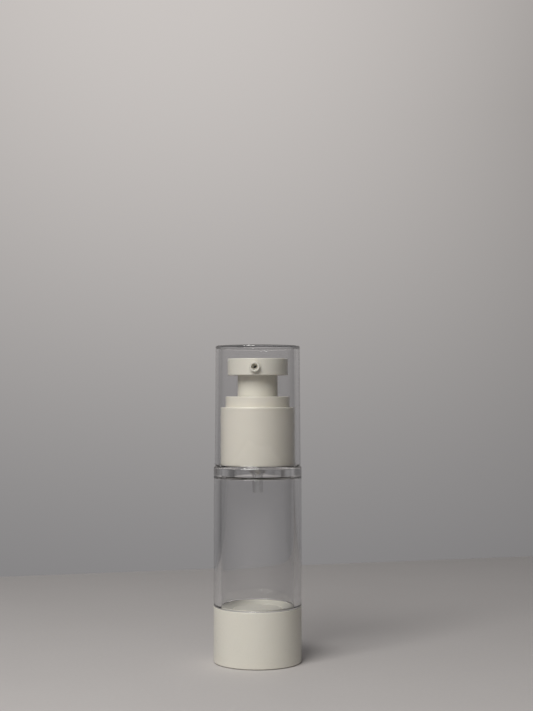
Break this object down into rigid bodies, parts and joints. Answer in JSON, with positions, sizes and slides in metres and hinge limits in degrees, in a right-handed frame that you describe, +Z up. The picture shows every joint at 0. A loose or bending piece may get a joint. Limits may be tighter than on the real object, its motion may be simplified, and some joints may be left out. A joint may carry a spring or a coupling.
{
  "type": "airless pump bottle",
  "caption": "Airless pump bottle: clear thick-walled tube with rising follower piston, white base, screw-on lotion pump and clear overcap.",
  "frame": {"origin": "centre of the foot ring, on the surface it stands on", "axes": "+Z up along the bottle's axis, the nozzle points along -Y"},
  "size_m": [0.03, 0.03, 0.1075],
  "materials": {
    "clear_plastic": "clear, polished",
    "white_plastic": "satin moulded",
    "white_seal": "soft satin",
    "natural_plastic": "translucent",
    "steel": "drawn wire"
  },
  "bodies": {
    "bottle": {"bottle": "clear_plastic", "base_cup": "white_plastic"},
    "follower": {"follower_piston": "white_seal"},
    "pump_core": {"pump_housing": "natural_plastic", "neck_gasket": "white_seal", "housing_cap": "white_plastic", "return_spring": "steel"},
    "inlet_ball": {"inlet_ball": "steel"},
    "stem": {"stem": "white_plastic", "piston_rod": "white_plastic"},
    "pump_piston": {"pump_piston": "white_seal"},
    "head": {"actuator_head": "white_plastic"},
    "closure": {"threaded_closure": "white_plastic", "outer_shroud": "white_plastic"},
    "overcap": {"overcap": "clear_plastic"}
  },
  "joints": [
    {"name": "follower_rise", "type": "slide", "parent": "bottle", "child": "follower", "axis": [0, 0, 1], "range_m": [0, 0.0388]},
    {"name": "closure_turn", "type": "hinge", "parent": "pump_core", "child": "closure", "pos_m": [0, 0, 0.07], "axis": [0, 0, 1], "range_deg": [0, 540]},
    {"name": "pump_lift", "type": "slide", "parent": "bottle", "child": "pump_core", "axis": [0, 0, 1], "range_m": [0, 0.0045]},
    {"name": "overcap_lift", "type": "slide", "parent": "closure", "child": "overcap", "axis": [0, 0, 1], "range_m": [0, 0.042]},
    {"name": "press", "type": "slide", "parent": "pump_core", "child": "stem", "axis": [0, 0, -1], "range_m": [0, 0.006], "stiffness_N_per_m": 1200, "springref_m": -0.005, "deforming": ["return_spring"]},
    {"name": "piston_slip", "type": "slide", "parent": "stem", "child": "pump_piston", "axis": [0, 0, 1], "range_m": [0, 0.0008]},
    {"name": "head_swivel", "type": "hinge", "parent": "stem", "child": "head", "pos_m": [0, 0, 0.1], "axis": [0, 0, 1], "continuous": true},
    {"name": "ball_lift", "type": "slide", "parent": "pump_core", "child": "inlet_ball", "axis": [0, 0, 1], "range_m": [0, 0.0008]}
  ],
  "couplings": [
    {"joint": "pump_lift", "follows": "closure_turn", "m_per_rad": 0.00047746}
  ]
}
